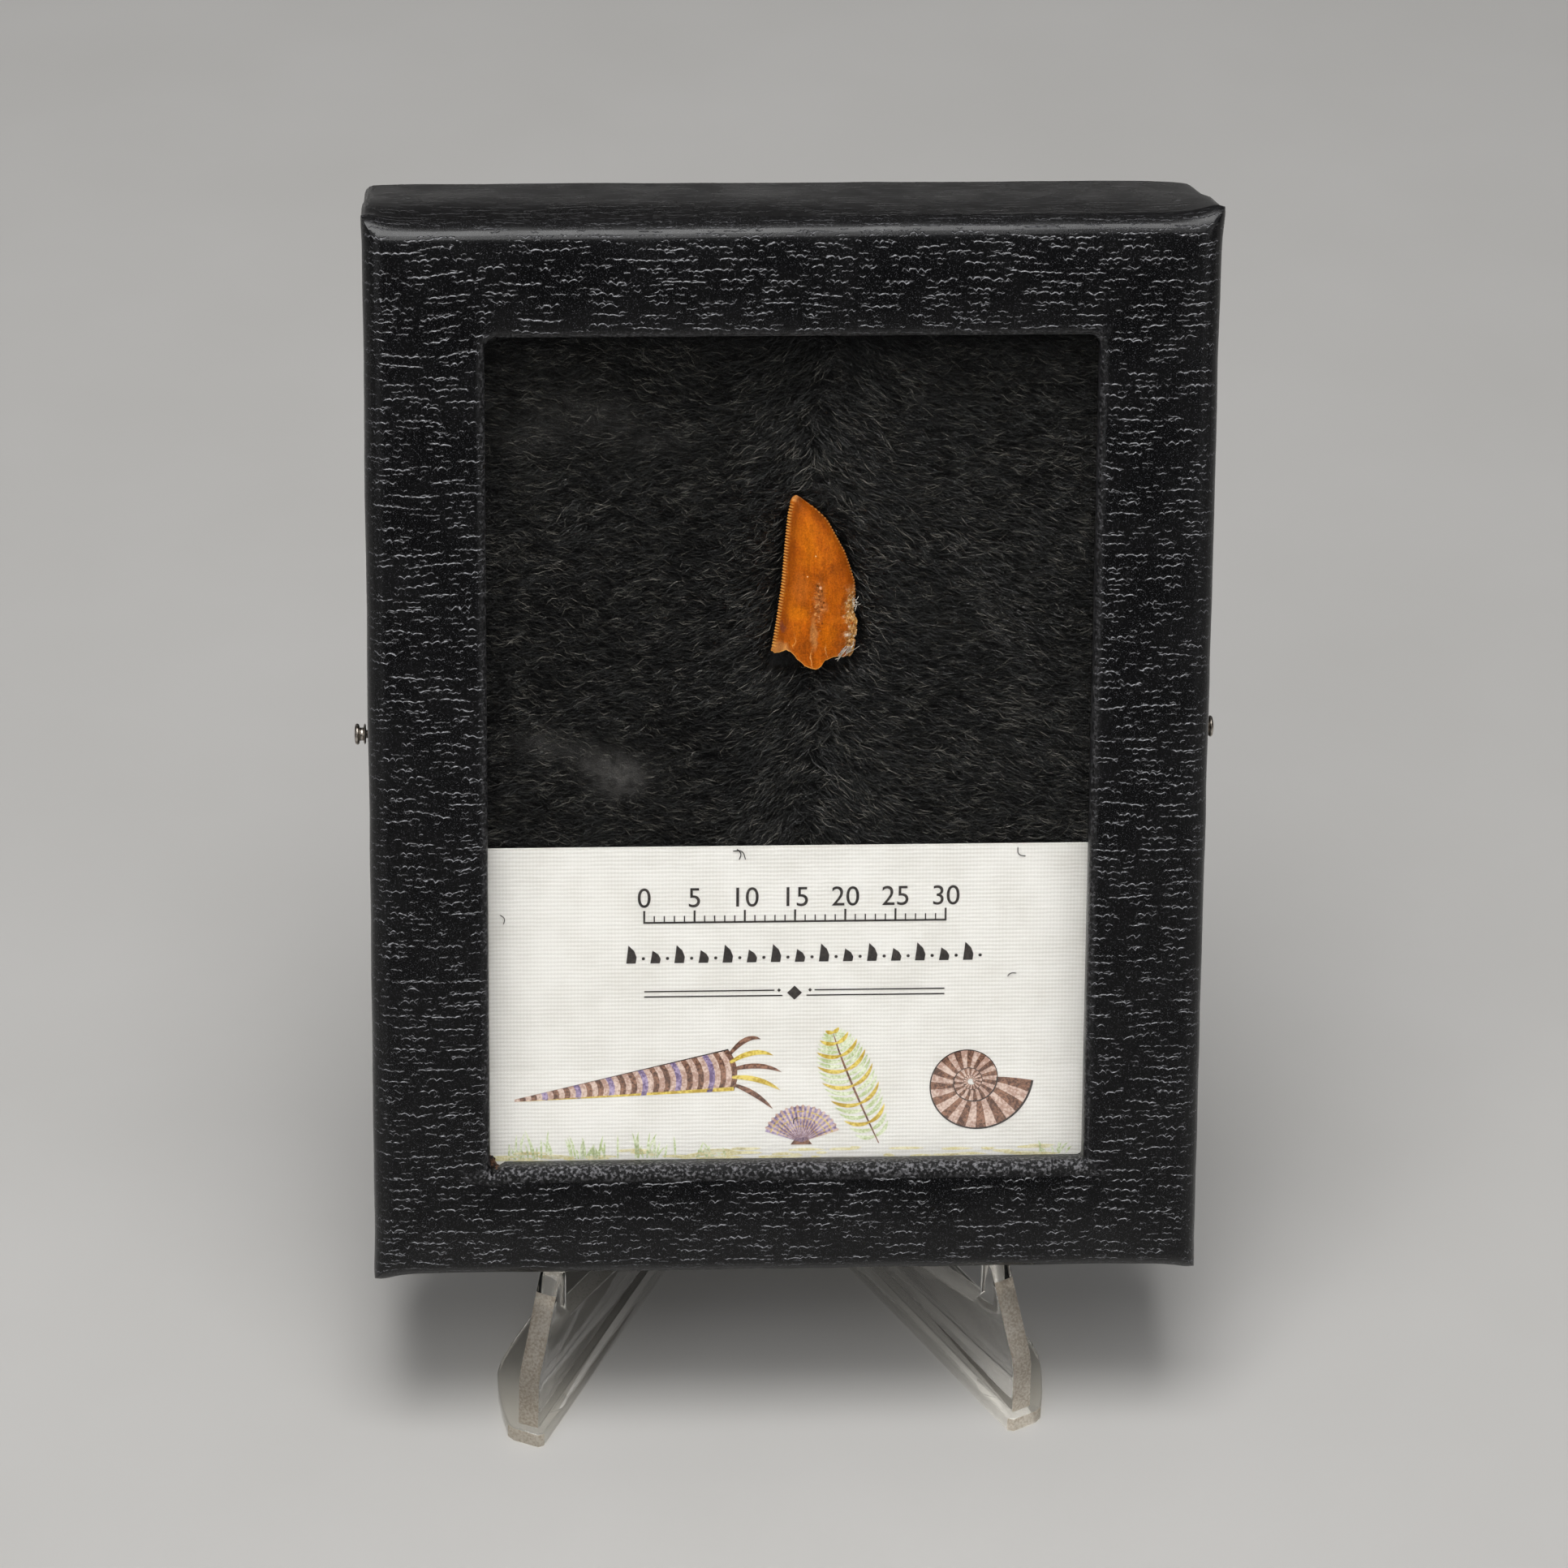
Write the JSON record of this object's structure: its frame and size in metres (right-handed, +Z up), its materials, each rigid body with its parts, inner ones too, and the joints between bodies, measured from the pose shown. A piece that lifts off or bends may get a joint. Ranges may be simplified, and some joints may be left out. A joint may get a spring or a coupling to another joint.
{
  "type": "fossil dinosaur tooth",
  "caption": "Serrated fossil dinosaur tooth on a plush bed with a label card, in a small glazed leatherette display box that leans on a clear folding easel.",
  "frame": {"origin": "on the surface the easel stands on, under the middle of the outer box of the whole model", "axes": "+X to the right seen from the front, +Y from the glazed front towards the easel's hinge, +Z up"},
  "size_m": [0.0854, 0.0534, 0.1217],
  "materials": {
    "tooth_enamel": "gloss",
    "plush": "matte",
    "label_paper": "matte",
    "window_glass": "polished",
    "leatherette": "satin",
    "tray_paper": "matte",
    "pin_metal": "gloss",
    "clear_plastic": "gloss"
  },
  "bodies": {
    "root": {"tooth": "tooth_enamel", "plush_bed": "plush", "label_card": "label_paper", "window_glass": "window_glass", "lid": "leatherette", "tray": "tray_paper", "pin_left": "pin_metal", "pin_right": "pin_metal", "easel_left": "clear_plastic", "easel_right": "clear_plastic"}
  },
  "joints": []
}
